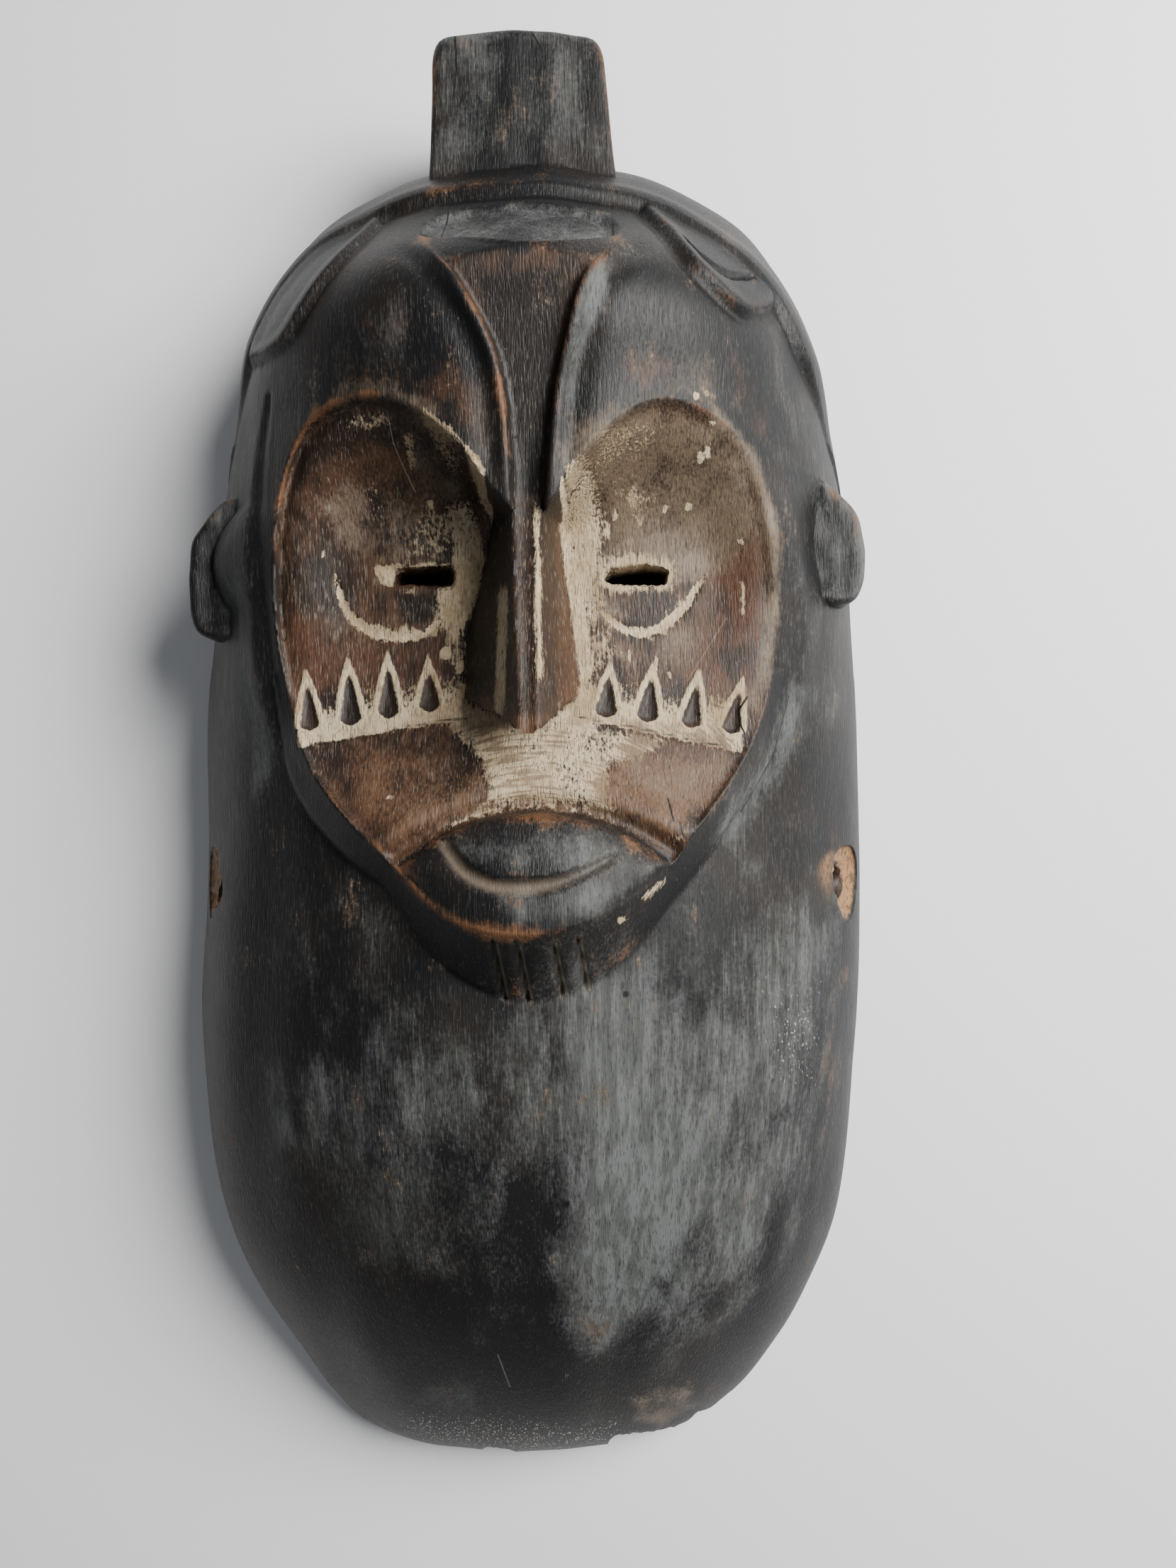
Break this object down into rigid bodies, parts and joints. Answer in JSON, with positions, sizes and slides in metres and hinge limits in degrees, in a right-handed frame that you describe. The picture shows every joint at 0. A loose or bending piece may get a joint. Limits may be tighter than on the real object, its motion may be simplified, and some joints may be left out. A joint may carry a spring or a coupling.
{
  "type": "carved wooden face mask",
  "caption": "Long carved wooden face mask with a dished face, slit eyes, a long nose, ears, a block crest and a long smooth beard, hollow behind.",
  "frame": {"origin": "middle of the mask's footprint, in the plane of the flat rim that it lies on", "axes": "+X to the right as the face is looked at, +Y from the beard to the crest, +Z out of the face"},
  "size_m": [0.1817, 0.3674, 0.0943],
  "materials": {
    "dark_wood": "satin"
  },
  "bodies": {
    "root": {"mask": "dark_wood"}
  },
  "joints": []
}
